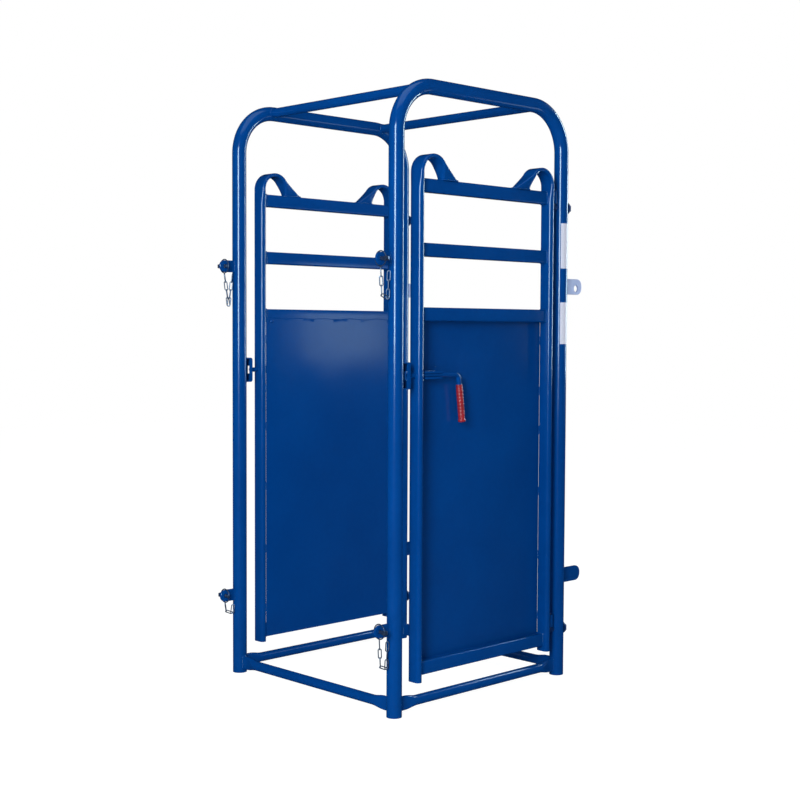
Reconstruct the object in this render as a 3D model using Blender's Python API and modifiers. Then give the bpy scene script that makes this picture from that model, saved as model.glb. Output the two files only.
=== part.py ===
"""Artificial insemination cage.

A walk-through steel cage that stands behind a cattle chute. Two tube hoops
form the sides, joined by rails at the top and at the floor. Each side has a
sheeted gate that hangs on two bent hinge bolts at the rear leg and closes
with a sliding bolt at the front leg. Snap-ring pins on the four front lugs
fasten the cage to the chute.

Metres, +Z up, the floor at z = 0. The open front, with the lugs, faces -Y,
and the right-hand gate is at +X.
"""

import math

import bmesh
import bpy
from mathutils import Matrix, Vector

# Clearances
gap = 0.0003
running_gap = 0.0004

# Hoops
leg_diameter = 0.0508
leg_wall = 0.0026
hoop_spacing = 0.815
leg_spacing = 0.820
hoop_height = 2.0644
hoop_bend_radius = 0.157
hoop_bend_steps = 6
hoop_side_resolution = 5

# Rails that join the hoops
rail_diameter = 0.0334
rail_wall = 0.0023
top_rail_front_inset = 0.142
top_rail_rear_inset = 0.131
lower_rail_height = 0.0373
crimp_height = 0.048
crimp_width = 0.014
crimp_length = 0.020
crimp_taper = 0.055

# Front lugs
lug_thickness = 0.008
lug_height = 0.042
lug_reach = 0.088
lug_hole_diameter = 0.013
lug_upper_height = 1.476
lug_lower_height = 0.288

# Rear tabs
tab_thickness = 0.008
tab_upper_height = 1.410
tab_upper_depth = 0.056
tab_upper_reach = 0.118
tab_hole_diameter = 0.025
tab_hole_inset = 0.031
tab_hole_drop = 0.006
tab_lower_height = 0.360
tab_lower_depth = 0.054
tab_lower_reach = 0.125
tab_corner = 0.025

# Gate stiles
stile_width = 0.0508
stile_depth = 0.0254
stile_wall = 0.002
stile_foot_drop = 0.01898
latch_stile_inset = 0.095
hinge_stile_inset = 0.0745
arch_radius = 0.0545
arch_rise = 0.0405
arch_taper = 0.050
arch_width = 0.058
arch_depth = 0.013
arch_end_angle = 38.0
arch_foot_inset = 0.1435
arch_foot_length = 0.080
arch_foot_width = 0.033
arch_foot_shift = 0.003
arch_reach = 0.040
arch_flare = 0.050
arch_flare_lean = 0.75
arch_flare_spread = 0.55

# Gate rails and sheet
gate_rail_height = 0.04445
gate_rail_depth = 0.03175
gate_rail_wall = 0.002
gate_rail_corner = 0.0055
gate_rail_face = 0.0095
gate_top_rail_height = 1.720
gate_second_rail_drop = 0.208
panel_top_rail_drop = 0.2092
panel_bottom_rail_height = 0.1392
sheet_thickness = 0.002
sheet_lap = 0.010
sheet_edge_gap = 0.0022

# Hinges
hinge_inset = 0.0465
hinge_upper_drop = 0.030
hinge_lower_rise = 0.0288
hinge_pin_diameter = 0.019
hinge_pin_tail = 0.004
hinge_bend_radius = 0.0125
eye_height = 0.045
eye_weld_bite = 0.001
nut_width = 0.032
nut_height = 0.008
washer_diameter = 0.044
washer_thickness = 0.004
bolt_end = 0.003

# Sliding bolts
bolt_diameter = 0.016
bolt_drop = 0.1988
bolt_offset = 0.003
bolt_handle_inset = 0.2893
bolt_bend_radius = 0.016
grip_drop = 0.0345
handle_tilt = 7.0
grip_length = 0.127
grip_diameter = 0.0235
grip_flare = 0.027
grip_cap = 0.003
grip_rib_count = 8
grip_rib_depth = 0.0008

# Keepers on the front legs
keeper_width = 0.034
keeper_height = 0.088
keeper_wall = 0.004
keeper_reach = 0.049
keeper_lip = 0.0125
keeper_corner = 0.008
keeper_slot_width = 0.022
keeper_slot_height = 0.028

# Guides of the sliding bolts
guide_start_inset = 0.118
guide_length = 0.0835
guide_height = 0.0255
guide_mouth = 0.012
guide_front = 0.003

# Snap-ring pins
pin_diameter = 0.011
ring_radius = 0.024
ring_wire = 0.004
pin_head_width = 0.016
pin_head_height = 0.014
ring_socket_depth = 0.005
ring_steps = 18

# Chains
link_length = 0.035
link_width = 0.0135
link_wire = 0.0036
chain_bite = 0.0008

leg_radius = leg_diameter / 2
rail_radius = rail_diameter / 2
hoop_x = hoop_spacing / 2
gate_second_rail_height = gate_top_rail_height - gate_second_rail_drop
panel_top_rail_height = gate_second_rail_height - panel_top_rail_drop
stile_foot = panel_bottom_rail_height - gate_rail_height / 2 - stile_foot_drop
arch_height = gate_top_rail_height + arch_rise
hinge_upper_height = gate_top_rail_height - hinge_upper_drop
hinge_lower_height = panel_bottom_rail_height + hinge_lower_rise
bolt_height = panel_top_rail_height - bolt_drop
handle_end_height = bolt_height - grip_drop - grip_length * math.cos(math.radians(handle_tilt))
reach_difference = tab_lower_reach - lug_reach
front_y = -leg_spacing / 2 - reach_difference / 2
rear_y = leg_spacing / 2 - reach_difference / 2
hoop_top = hoop_height - leg_radius
lug_hole_inset = lug_reach - lug_height / 2
lug_hole_y = front_y - lug_hole_inset
latch_stile_y = front_y + latch_stile_inset
hinge_stile_y = rear_y - hinge_stile_inset
hinge_y = rear_y - hinge_inset
half_stile = stile_depth / 2
rail_start_y = latch_stile_y + half_stile + gap
rail_end_y = hinge_stile_y - half_stile - gap
rail_inner_face = gate_rail_face - gate_rail_depth
sheet_face = rail_inner_face - gap
hinge_pin_radius = hinge_pin_diameter / 2
eye_lift = hinge_bend_radius + running_gap
bolt_radius = bolt_diameter / 2
link_radius = link_wire / 2
link_pitch = link_length - 2 * link_wire + chain_bite

for old in list(bpy.data.objects):
    bpy.data.objects.remove(old, do_unlink=True)

scene = bpy.context.scene
parts = bpy.data.collections.new("insemination_cage")
cutters = bpy.data.collections.new("cutters")
scene.collection.children.link(parts)
scene.collection.children.link(cutters)


def material(name, colour, roughness, metallic):
    """Returns a Principled material of one colour."""
    made = bpy.data.materials.new(name)
    made.use_nodes = True
    shader = made.node_tree.nodes["Principled BSDF"]
    shader.inputs["Base Color"].default_value = (*colour, 1.0)
    shader.inputs["Roughness"].default_value = roughness
    shader.inputs["Metallic"].default_value = metallic
    made.diffuse_color = (*colour, 1.0)
    return made


blue_paint = material("blue_paint", (0.004, 0.045, 0.195), 0.32, 0.0)
zinc = material("zinc_plate", (0.60, 0.62, 0.66), 0.35, 1.0)
dark_steel = material("dark_steel", (0.045, 0.055, 0.085), 0.45, 1.0)
red_vinyl = material("red_vinyl", (0.40, 0.020, 0.025), 0.45, 0.0)


def add(name, data, look, collection=parts):
    """Links a new object for a mesh or a curve and gives it its material."""
    made = bpy.data.objects.new(name, data)
    collection.objects.link(made)
    if look is not None:
        data.materials.append(look)
    return made


def from_bmesh(name, shape, look, collection=parts):
    """Makes an object from a bmesh, with round faces shaded smooth."""
    bmesh.ops.recalc_face_normals(shape, faces=shape.faces)
    mesh = bpy.data.meshes.new(name)
    shape.to_mesh(mesh)
    shape.free()
    mesh.shade_smooth()
    mesh.set_sharp_from_angle(angle=math.radians(35))
    return add(name, mesh, look, collection)


def hide(made):
    """Marks an object as a cutter that isn't part of the cage."""
    made.hide_render = True
    made.display_type = "WIRE"
    return made


def box(name, low, high, look, collection=parts):
    """Makes a box between two corners."""
    shape = bmesh.new()
    size = Vector(high) - Vector(low)
    centre = (Vector(high) + Vector(low)) / 2
    place = Matrix.Translation(centre) @ Matrix.Diagonal((*size, 1.0))
    bmesh.ops.create_cube(shape, size=1.0, matrix=place)
    return from_bmesh(name, shape, look, collection)


def cylinder(name, radius, start, end, sides, look, collection=parts):
    """Makes a cylinder between two points."""
    start = Vector(start)
    along = Vector(end) - start
    turn = along.to_track_quat("Z", "Y").to_matrix().to_4x4()
    place = Matrix.Translation(start + along / 2) @ turn
    shape = bmesh.new()
    bmesh.ops.create_cone(shape, cap_ends=True, segments=sides, radius1=radius,
                          radius2=radius, depth=along.length, matrix=place)
    return from_bmesh(name, shape, look, collection)


def boolean(made, tool, operation="DIFFERENCE"):
    """Cuts an object with a tool, or joins the tool to it."""
    step = made.modifiers.new(operation.lower(), "BOOLEAN")
    step.operation = operation
    step.solver = "EXACT"
    step.object = tool


def as_mesh(made):
    """Turns a curve object into a mesh object with its caps welded."""
    graph = bpy.context.evaluated_depsgraph_get()
    mesh = bpy.data.meshes.new_from_object(made.evaluated_get(graph))
    shape = bmesh.new()
    shape.from_mesh(mesh)
    bmesh.ops.remove_doubles(shape, verts=shape.verts, dist=0.00001)
    shape.to_mesh(mesh)
    shape.free()
    name = made.name
    place = made.matrix_world.copy()
    home = made.users_collection[0]
    old_curve = made.data
    bpy.data.objects.remove(made, do_unlink=True)
    bpy.data.curves.remove(old_curve)
    mesh.name = name
    mesh.shade_smooth()
    mesh.set_sharp_from_angle(angle=math.radians(35))
    fresh = bpy.data.objects.new(name, mesh)
    fresh.matrix_world = place
    home.objects.link(fresh)
    return fresh


def wire(name, points, radius, resolution, look, caps=True, cyclic=False,
         collection=parts):
    """Makes a round bar or tube skin along a run of points."""
    curve = bpy.data.curves.new(name, "CURVE")
    curve.dimensions = "3D"
    curve.bevel_depth = radius
    curve.bevel_resolution = resolution
    curve.use_fill_caps = caps
    run = curve.splines.new("POLY")
    run.points.add(len(points) - 1)
    for place, point in zip(run.points, points):
        place.co = (*point, 1.0)
    run.use_cyclic_u = cyclic
    made = add(name, curve, look, collection)
    bpy.context.view_layer.update()
    return made


def hollow(name, points, radius, wall, resolution, look):
    """Makes an open-ended tube along a run of points."""
    made = as_mesh(wire(name, points, radius, resolution, look, caps=False))
    skin = made.modifiers.new("wall", "SOLIDIFY")
    skin.thickness = wall
    skin.offset = -1.0
    skin.use_even_offset = True
    return made


def outline(name, loops, thickness, look, place, collection=parts):
    """Makes a flat plate or a straight section from its closed outlines."""
    curve = bpy.data.curves.new(name, "CURVE")
    curve.dimensions = "2D"
    curve.fill_mode = "BOTH"
    curve.extrude = thickness / 2
    for loop in loops:
        run = curve.splines.new("POLY")
        run.points.add(len(loop) - 1)
        for spot, point in zip(run.points, loop):
            spot.co = (point[0], point[1], 0.0, 1.0)
        run.use_cyclic_u = True
    made = add(name, curve, look, collection)
    made.matrix_world = place
    bpy.context.view_layer.update()
    return as_mesh(made)


def loft(name, outer, inner, look):
    """Makes a tube whose section changes, from its outer and inner rings."""
    shape = bmesh.new()
    skins = []
    for rings in (outer, inner):
        skins.append([[shape.verts.new(point) for point in ring] for ring in rings])
    count = len(outer[0])
    for rings in skins:
        for lower, upper in zip(rings, rings[1:]):
            for k in range(count):
                n = (k + 1) % count
                shape.faces.new((lower[k], lower[n], upper[n], upper[k]))
    for end in (0, -1):
        for k in range(count):
            n = (k + 1) % count
            shape.faces.new((skins[0][end][k], skins[0][end][n],
                             skins[1][end][n], skins[1][end][k]))
    return from_bmesh(name, shape, look)


def arc(centre, radius, start, end, steps):
    """Returns points along a flat arc, with its angles in degrees."""
    points = []
    for k in range(steps + 1):
        angle = math.radians(start + (end - start) * k / steps)
        points.append((centre[0] + radius * math.cos(angle),
                       centre[1] + radius * math.sin(angle)))
    return points


def rounded_box(half_x, half_y, corner, steps):
    """Returns a rectangle's outline with round corners."""
    points = []
    for k, (sx, sy) in enumerate(((1, 1), (-1, 1), (-1, -1), (1, -1))):
        centre = (sx * (half_x - corner), sy * (half_y - corner))
        points += arc(centre, corner, 90 * k, 90 * k + 90, steps)
    return points


def stadium(half_long, half_short, count):
    """Returns a flat-oval outline, long way first, with exact flats."""
    half = count // 2
    straight = half_long - half_short
    points = []
    for k in range(half):
        angle = math.pi * (k / (half - 1) - 0.5)
        points.append((straight + half_short * math.cos(angle),
                       half_short * math.sin(angle)))
    for k in range(half):
        angle = math.pi * (k / (half - 1) + 0.5)
        points.append((-straight + half_short * math.cos(angle),
                       half_short * math.sin(angle)))
    return points


def squeezed(half_wide, half_tall, count):
    """Returns the outline of a round tube squeezed to a tall oval."""
    straight = max(half_tall - half_wide, 0.0)
    points = []
    for k in range(count):
        angle = 2 * math.pi * (k + 0.5) / count
        lift = straight if math.sin(angle) > 0 else -straight
        points.append((half_wide * math.cos(angle),
                       lift + half_wide * math.sin(angle)))
    return points


def hoop_path(side, foot):
    """Returns the centre line of a side hoop, from foot to foot."""
    low = hoop_top - hoop_bend_radius
    near = front_y + hoop_bend_radius
    far = rear_y - hoop_bend_radius
    path = [(front_y, foot), (front_y, low * 0.5)]
    path += arc((near, low), hoop_bend_radius, 180, 90, hoop_bend_steps)
    path += arc((far, low), hoop_bend_radius, 90, 0, hoop_bend_steps)
    path += [(rear_y, low * 0.5), (rear_y, foot)]
    return [(side * hoop_x, y, z) for y, z in path]


# Tools that cope the ends of what meets a hoop
hoop_cutters = {}
for side in (-1, 1):
    tool = as_mesh(wire("hoop_cutter", hoop_path(side, -0.01), leg_radius + gap,
                        hoop_side_resolution, None, collection=cutters))
    hoop_cutters[side] = hide(tool)


def hoop(side, label):
    """One side hoop: two legs and the top in a single bent tube."""
    x = side * hoop_x
    made = hollow("hoop_" + label, hoop_path(side, 0.0), leg_radius, leg_wall,
                  hoop_side_resolution, blue_paint)
    for height in (hinge_lower_height, hinge_upper_height):
        hole = cylinder("hinge_bolt_hole", hinge_pin_radius + gap,
                        (x, rear_y - leg_diameter, height),
                        (x, rear_y + leg_diameter, height), 20, None, cutters)
        boolean(made, hide(hole))
    return made


def top_rail(y, label):
    """A round rail between the hoops' tops, coped to them."""
    made = hollow("top_rail_" + label, [(-hoop_x, y, hoop_top), (hoop_x, y, hoop_top)],
                  rail_radius, rail_wall, 4, blue_paint)
    for side in (-1, 1):
        boolean(made, hoop_cutters[side])
    return made


def lower_rail(name, start, end, first, last):
    """A floor rail whose two ends are crimped tall and narrow at the legs."""
    start = Vector(start)
    along = Vector(end) - start
    length = along.length
    along.normalize()
    across = Vector((-along.y, along.x, 0.0))
    up = Vector((0.0, 0.0, 1.0))
    free = leg_radius
    stations = (0.0, free + crimp_length, free + crimp_length + crimp_taper / 2,
                free + crimp_length + crimp_taper)
    shares = (1.0, 1.0, 0.45, 0.0)
    places = list(zip(stations, shares))
    places += [(length - s, k) for s, k in reversed(places)]
    outer = []
    inner = []
    for place, share in places:
        wide = rail_radius + (crimp_width / 2 - rail_radius) * share
        tall = rail_radius + (crimp_height / 2 - rail_radius) * share
        spot = start + along * place
        for rings, less in ((outer, 0.0), (inner, rail_wall)):
            ring = squeezed(wide - less, tall - less, 14)
            rings.append([spot + across * u + up * v for u, v in ring])
    made = loft(name, outer, inner, blue_paint)
    boolean(made, hoop_cutters[first])
    boolean(made, hoop_cutters[last])
    return made


def plate_frame(x, y, z):
    """Places a flat outline in the plane of a hoop, its X along +Y."""
    turn = Matrix(((0, 0, 1, 0), (1, 0, 0, 0), (0, 1, 0, 0), (0, 0, 0, 1)))
    return Matrix.Translation((x, y, z)) @ turn


def lug(side, height, label):
    """A round-ended plate with one hole on the front of a leg."""
    radius = lug_height / 2
    flat = arc((-lug_hole_inset, 0.0), radius, 90, 270, 8)
    flat += [(0.0, -radius), (0.0, radius)]
    hole = arc((-lug_hole_inset, 0.0), lug_hole_diameter / 2, 0, 330, 11)
    made = outline("front_lug_" + label, [flat, hole], lug_thickness, blue_paint,
                   plate_frame(side * hoop_x, front_y, height))
    boolean(made, hoop_cutters[side])
    return made


def rear_tab(side, height, depth, reach, drilled, look, label):
    """A round-cornered tab on the back of a rear leg."""
    half = depth / 2
    flat = [(0.0, -half)]
    flat += arc((reach - tab_corner, -half + tab_corner), tab_corner, -90, 0, 4)
    flat += arc((reach - tab_corner, half - tab_corner), tab_corner, 0, 90, 4)
    flat += [(0.0, half)]
    loops = [flat]
    if drilled:
        spot = (reach - tab_hole_inset, -tab_hole_drop)
        loops.append(arc(spot, tab_hole_diameter / 2, 0, 330, 11))
    made = outline("rear_tab_" + label, loops, tab_thickness, look,
                   plate_frame(side * hoop_x, rear_y, height))
    boolean(made, hoop_cutters[side])
    return made


def keeper(side, label):
    """A folded strap on the front leg with the slot that takes the bolt.

    It is open at both sides but for a lip along its outer edge.
    """
    x = side * (hoop_x + bolt_offset)
    half = keeper_width / 2
    face = front_y + keeper_reach
    inner = keeper_height / 2 - keeper_wall
    turn = Matrix.Rotation(math.radians(90), 4, "Z") @ Matrix.Rotation(math.radians(90), 4, "X")
    place = Matrix.Translation((x, front_y + keeper_reach / 2, bolt_height)) @ turn
    made = outline("keeper_" + label,
                   [rounded_box(keeper_reach / 2, keeper_height / 2, keeper_corner, 3)],
                   keeper_width, blue_paint, place)
    through = box("keeper_sides", (x - half - 0.01, front_y - 0.01, bolt_height - inner),
                  (x + half + 0.01, face - keeper_lip, bolt_height + inner), None, cutters)
    pocket = box("keeper_pocket", (x - half + keeper_wall, front_y, bolt_height - inner),
                 (x + half - keeper_wall, face - keeper_wall, bolt_height + inner),
                 None, cutters)
    slot = box("keeper_slot",
               (x - keeper_slot_width / 2, front_y, bolt_height - keeper_slot_height / 2),
               (x + keeper_slot_width / 2, face + 0.01, bolt_height + keeper_slot_height / 2),
               None, cutters)
    boolean(made, hide(through))
    boolean(made, hide(pocket))
    boolean(made, hide(slot))
    boolean(made, hoop_cutters[side])
    return made


def hinge_bolt(side, height, label):
    """A bent bolt: its shank goes through the leg, its pin stands up."""
    x = side * hoop_x
    end = rear_y + leg_radius + gap + washer_thickness + nut_height + bolt_end
    top = height + eye_lift + eye_height + hinge_pin_tail
    path = [(end, height)]
    bend = arc((hinge_y + hinge_bend_radius, height + hinge_bend_radius),
               hinge_bend_radius, 270, 180, 4)
    path += bend
    path += [(hinge_y, top)]
    points = [(x, y, z) for y, z in path]
    return wire("hinge_bolt_" + label, points, hinge_pin_radius, 4, dark_steel)


def hinge_nut(side, height, label):
    """A hexagon nut on its washer, behind the rear leg."""
    x = side * hoop_x
    start = rear_y + leg_radius + gap
    seat = start + washer_thickness
    made = cylinder("hinge_nut_" + label, washer_diameter / 2, (x, start, height),
                    (x, seat, height), 20, blue_paint)
    flats = cylinder("hexagon", nut_width / 2 / math.cos(math.pi / 6),
                     (x, seat - washer_thickness / 2, height),
                     (x, seat + nut_height, height), 6, None, cutters)
    bore = cylinder("nut_bore", hinge_pin_radius + gap, (x, start - 0.01, height),
                    (x, seat + nut_height + 0.01, height), 16, None, cutters)
    boolean(made, hide(flats), "UNION")
    boolean(made, hide(bore))
    return made


def stile(side, y, inward, label):
    """A flat-oval gate upright that curls over into an arch at its top.

    The arch is flattened sideways, runs down at a slant and opens again to
    a long foot that lands on the gate's top rail. From the arch to the foot
    each point follows a cubic curve. inward is +1 where the arch runs to +Y.
    """
    x = side * hoop_x
    count = 12
    foot_z = gate_top_rail_height + gate_rail_height / 2 + gap
    stations = []

    def station(place, height, angle, wide, deep):
        stations.append((place, height, math.radians(angle), wide / 2, deep / 2))

    station(0.0, stile_foot, 180, stile_width, stile_depth)
    station(0.0, bolt_height, 180, stile_width, stile_depth)
    station(0.0, arch_height - arch_taper, 180, stile_width, stile_depth)
    for k in range(7):
        angle = 180 + (arch_end_angle - 180) * k / 6
        share = min(k + 1, 2) / 2
        wide = stile_width + (arch_width - stile_width) * share
        deep = stile_depth + (arch_depth - stile_depth) * share
        turn = math.radians(angle)
        station(arch_radius + arch_radius * math.cos(turn),
                arch_height + arch_radius * math.sin(turn), angle, wide, deep)
    outer = []
    inner = []
    for place, height, turn, wide, deep in stations:
        for rings, less in ((outer, 0.0), (inner, stile_wall)):
            ring = []
            for u, v in stadium(wide - less, deep - less, count):
                s = place + v * math.cos(turn)
                ring.append((x + u, y + inward * s, height + v * math.sin(turn)))
            rings.append(ring)
    end = math.radians(arch_end_angle)
    leave = Vector((0.0, inward * math.sin(end), -math.cos(end))) * arch_reach
    for rings, less in ((outer, 0.0), (inner, stile_wall)):
        starts = [Vector(point) for point in rings[-1]]
        long_half = arch_foot_length / 2 - less
        wide_half = arch_foot_width / 2 - less
        feet = []
        for u, v in stadium(arch_width / 2, arch_depth / 2, count):
            angle = math.atan2(v / (arch_depth / 2), u / (arch_width / 2))
            out = math.copysign(long_half - wide_half, v) + wide_half * math.sin(angle)
            place = Vector((x - side * arch_foot_shift + wide_half * math.cos(angle),
                            y + inward * (arch_foot_inset + out), foot_z))
            lean = arch_flare_lean + arch_flare_spread * out / long_half
            feet.append((place, Vector((0.0, inward * lean, -1.0)) * arch_flare))
        for t in (1 / 3, 2 / 3, 1.0):
            rings.append([(2 * t ** 3 - 3 * t ** 2 + 1) * start
                          + (t ** 3 - 2 * t ** 2 + t) * leave
                          + (3 * t ** 2 - 2 * t ** 3) * place + (t ** 3 - t ** 2) * land
                          for start, (place, land) in zip(starts, feet)])
    return loft("stile_" + label, outer, inner, blue_paint)


def gate_rail(side, height, label):
    """A rectangular rail between the two stiles of a gate."""
    centre_x = side * (hoop_x + gate_rail_face - gate_rail_depth / 2)
    length = rail_end_y - rail_start_y
    middle = (rail_start_y + rail_end_y) / 2
    turn = Matrix.Rotation(math.radians(90), 4, "X")
    loops = [rounded_box(gate_rail_depth / 2, gate_rail_height / 2, gate_rail_corner, 2),
             rounded_box(gate_rail_depth / 2 - gate_rail_wall,
                         gate_rail_height / 2 - gate_rail_wall,
                         gate_rail_corner - gate_rail_wall, 1)]
    return outline(label, loops, length, blue_paint,
                   Matrix.Translation((centre_x, middle, height)) @ turn)


def across(side, near, far):
    """Returns the low and high X of what lies between two gate offsets."""
    ends = (side * (hoop_x + near), side * (hoop_x + far))
    return min(ends), max(ends)


def sheet(side, label):
    """The flat sheet on the inner side of a gate's lower part."""
    low_x, high_x = across(side, sheet_face, sheet_face - sheet_thickness)
    bow = half_stile + (sheet_face - sheet_thickness / 2) + stile_width / 2 - half_stile
    bulge = math.sqrt(max(half_stile ** 2 - (half_stile - bow) ** 2, 0.0))
    start = latch_stile_y + bulge + sheet_edge_gap
    end = hinge_stile_y - bulge - sheet_edge_gap
    low = panel_bottom_rail_height - gate_rail_height / 2
    high = panel_top_rail_height - gate_rail_height / 2 + sheet_lap
    return box("sheet_" + label, (low_x, start, low), (high_x, end, high), blue_paint)


def guide(side, label):
    """The block on the sheet whose channel and two lips hold the sliding bolt."""
    start = front_y + guide_start_inset
    end = start + guide_length
    room = bolt_radius + running_gap
    low = bolt_height - guide_height / 2
    high = bolt_height + guide_height / 2
    front = bolt_offset + room + guide_front
    low_x, high_x = across(side, sheet_face + gap, front)
    made = box("bolt_guide_" + label, (low_x, start, low), (high_x, end, high), blue_paint)
    cut_low, cut_high = across(side, bolt_offset - room, bolt_offset + room)
    channel = box("guide_channel", (cut_low, start - 0.01, bolt_height - room),
                  (cut_high, end + 0.01, bolt_height + room), None, cutters)
    cut_low, cut_high = across(side, bolt_offset, front + 0.01)
    mouth = box("guide_mouth", (cut_low, start - 0.01, bolt_height - guide_mouth / 2),
                (cut_high, end + 0.01, bolt_height + guide_mouth / 2), None, cutters)
    boolean(made, hide(channel))
    boolean(made, hide(mouth))
    return made


def bolt_path(side):
    """Returns the run of the sliding bolt, from its tip to its handle's end."""
    x = side * (hoop_x + bolt_offset)
    tip = front_y + keeper_reach + 0.001
    handle_y = front_y + bolt_handle_inset
    tilt = math.radians(handle_tilt)
    turned = 90 - handle_tilt
    bend_start = handle_y - bolt_bend_radius
    path = [(tip, bolt_height), ((tip + bend_start) / 2, bolt_height)]
    path += arc((bend_start, bolt_height - bolt_bend_radius), bolt_bend_radius,
                90, 90 - turned, 5)
    last = path[-1]
    drop = last[1] - handle_end_height - grip_cap
    path += [(last[0] + drop * math.tan(tilt), handle_end_height + grip_cap)]
    return [(x, y, z) for y, z in path]


def grip(side, label):
    """The ribbed vinyl grip pushed over the end of the bolt's handle."""
    path = bolt_path(side)
    end = Vector(path[-1])
    up = (Vector(path[-2]) - end).normalized()
    radius = grip_diameter / 2
    bore = bolt_radius + gap
    pitch = (grip_length - 0.030) / grip_rib_count
    profile = [(bore, grip_length - grip_cap), (radius - 0.0015, grip_length - grip_cap),
               (radius, grip_length - grip_cap - 0.002)]
    for k in range(grip_rib_count):
        top = grip_length - grip_cap - 0.010 - k * pitch
        profile.append((radius, top))
        profile.append((radius - grip_rib_depth, top - pitch / 2))
    profile.append((radius, 0.010))
    profile.append((grip_flare / 2, 0.004))
    profile.append((grip_flare / 2, -grip_cap + 0.002))
    profile.append((grip_flare / 2 - 0.003, -grip_cap))
    shape = bmesh.new()
    count = 12
    rings = []
    for r, h in profile:
        rings.append([shape.verts.new((r * math.cos(2 * math.pi * k / count),
                                       r * math.sin(2 * math.pi * k / count), h))
                      for k in range(count)])
    floor = [shape.verts.new((bore * math.cos(2 * math.pi * k / count),
                              bore * math.sin(2 * math.pi * k / count), -gap))
             for k in range(count)]
    for upper, lower in zip(rings, rings[1:]):
        for k in range(count):
            n = (k + 1) % count
            shape.faces.new((upper[k], lower[k], lower[n], upper[n]))
    for k in range(count):
        n = (k + 1) % count
        shape.faces.new((floor[k], rings[0][k], rings[0][n], floor[n]))
    shape.faces.new(rings[-1][::-1])
    shape.faces.new(floor)
    made = from_bmesh("grip_" + label, shape, red_vinyl)
    turn = up.to_track_quat("Z", "Y").to_matrix().to_4x4()
    made.matrix_world = Matrix.Translation(end) @ turn
    return made


def snap_pin(side, height, label):
    """The pin through a front lug, with its drilled head on the outer side."""
    x = side * hoop_x
    clear = ring_radius * math.cos(math.pi / ring_steps) - ring_wire / 2 - gap
    tip = x - side * math.sqrt(clear ** 2 - (pin_diameter / 2) ** 2)
    head_near = ring_radius - pin_head_width / 2
    made = cylinder("snap_pin_" + label, pin_diameter / 2, (tip, lug_hole_y, height),
                    (x + side * ring_radius, lug_hole_y, height), 12, zinc)
    ends = sorted((x + side * head_near, x + side * (head_near + pin_head_width)))
    half = pin_head_height / 2
    head = box("pin_head", (ends[0], lug_hole_y - half, height - half),
               (ends[1], lug_hole_y + half, height + half), None, cutters)
    socket = cylinder("ring_socket", ring_wire / 2 + gap,
                      (x + side * ring_radius, lug_hole_y, height - pin_head_height),
                      (x + side * ring_radius, lug_hole_y, height + pin_head_height),
                      12, None, cutters)
    boolean(made, hide(head), "UNION")
    boolean(made, hide(socket))
    return made


def snap_ring(side, height, label):
    """The wire ring that swings over the pin's tip, open at the head."""
    x = side * hoop_x
    start = 26
    half = pin_head_height / 2
    path = [(ring_radius, half - ring_socket_depth), (ring_radius, half + 0.001)]
    path += arc((0.0, 0.0), ring_radius, start, 360 - start, ring_steps)
    path += [(ring_radius, -half - 0.001), (ring_radius, -half + ring_socket_depth)]
    points = [(x + side * u, lug_hole_y, height + v) for u, v in path]
    return wire("snap_ring_" + label, points, ring_wire / 2, 1, zinc)


def chain(side, height, drops, label):
    """A short chain from the ring's foot round to the leg below the lug.

    drops gives the number of links down, across and up.
    """
    x = side * hoop_x
    top = height - ring_radius - ring_wire / 2 - gap - link_radius
    link_turn = math.radians(45)
    link_reach = (link_width / 2 - link_radius) * math.sin(link_turn) + link_radius
    anchor_y = front_y - leg_radius - gap - link_reach
    span = anchor_y - lug_hole_y
    down, level, rise = drops
    joints = [(lug_hole_y, top)]
    lean = max(span - level * link_pitch * 0.92, 0.0) / 2
    for k in range(down):
        y, z = joints[-1]
        step = lean / max(down, 1)
        joints.append((y + step, z - math.sqrt(link_pitch ** 2 - step ** 2)))
    for k in range(level):
        y, z = joints[-1]
        joints.append((y + link_pitch * 0.92, z - link_pitch * 0.39 * (1 - 2 * k)))
    for k in range(rise):
        y, z = joints[-1]
        step = (anchor_y - y) / (rise - k)
        joints.append((y + step, z + math.sqrt(max(link_pitch ** 2 - step ** 2, 0.0))))
    made = None
    for k, (a, b) in enumerate(zip(joints, joints[1:])):
        first = Vector((x, a[0], a[1]))
        last = Vector((x, b[0], b[1]))
        along = (last - first).normalized()
        side_way = Vector((1.0, 0.0, 0.0))
        turn = Matrix.Rotation(link_turn + math.radians(90 * (k % 2)), 3, along)
        side_way = turn @ side_way
        middle = (first + last) / 2
        half = link_length / 2 - link_radius
        wide = link_width / 2 - link_radius
        ring = [middle + along * u + side_way * v for u, v in stadium(half, wide, 8)]
        link = as_mesh(wire("chain_link", ring, link_radius, 1, zinc, caps=False, cyclic=True,
                            collection=parts if k == 0 else cutters))
        if made is None:
            link.name = "chain_" + label
            link.data.name = "chain_" + label
            made = link
        else:
            boolean(made, hide(link), "UNION")
    return made


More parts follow.
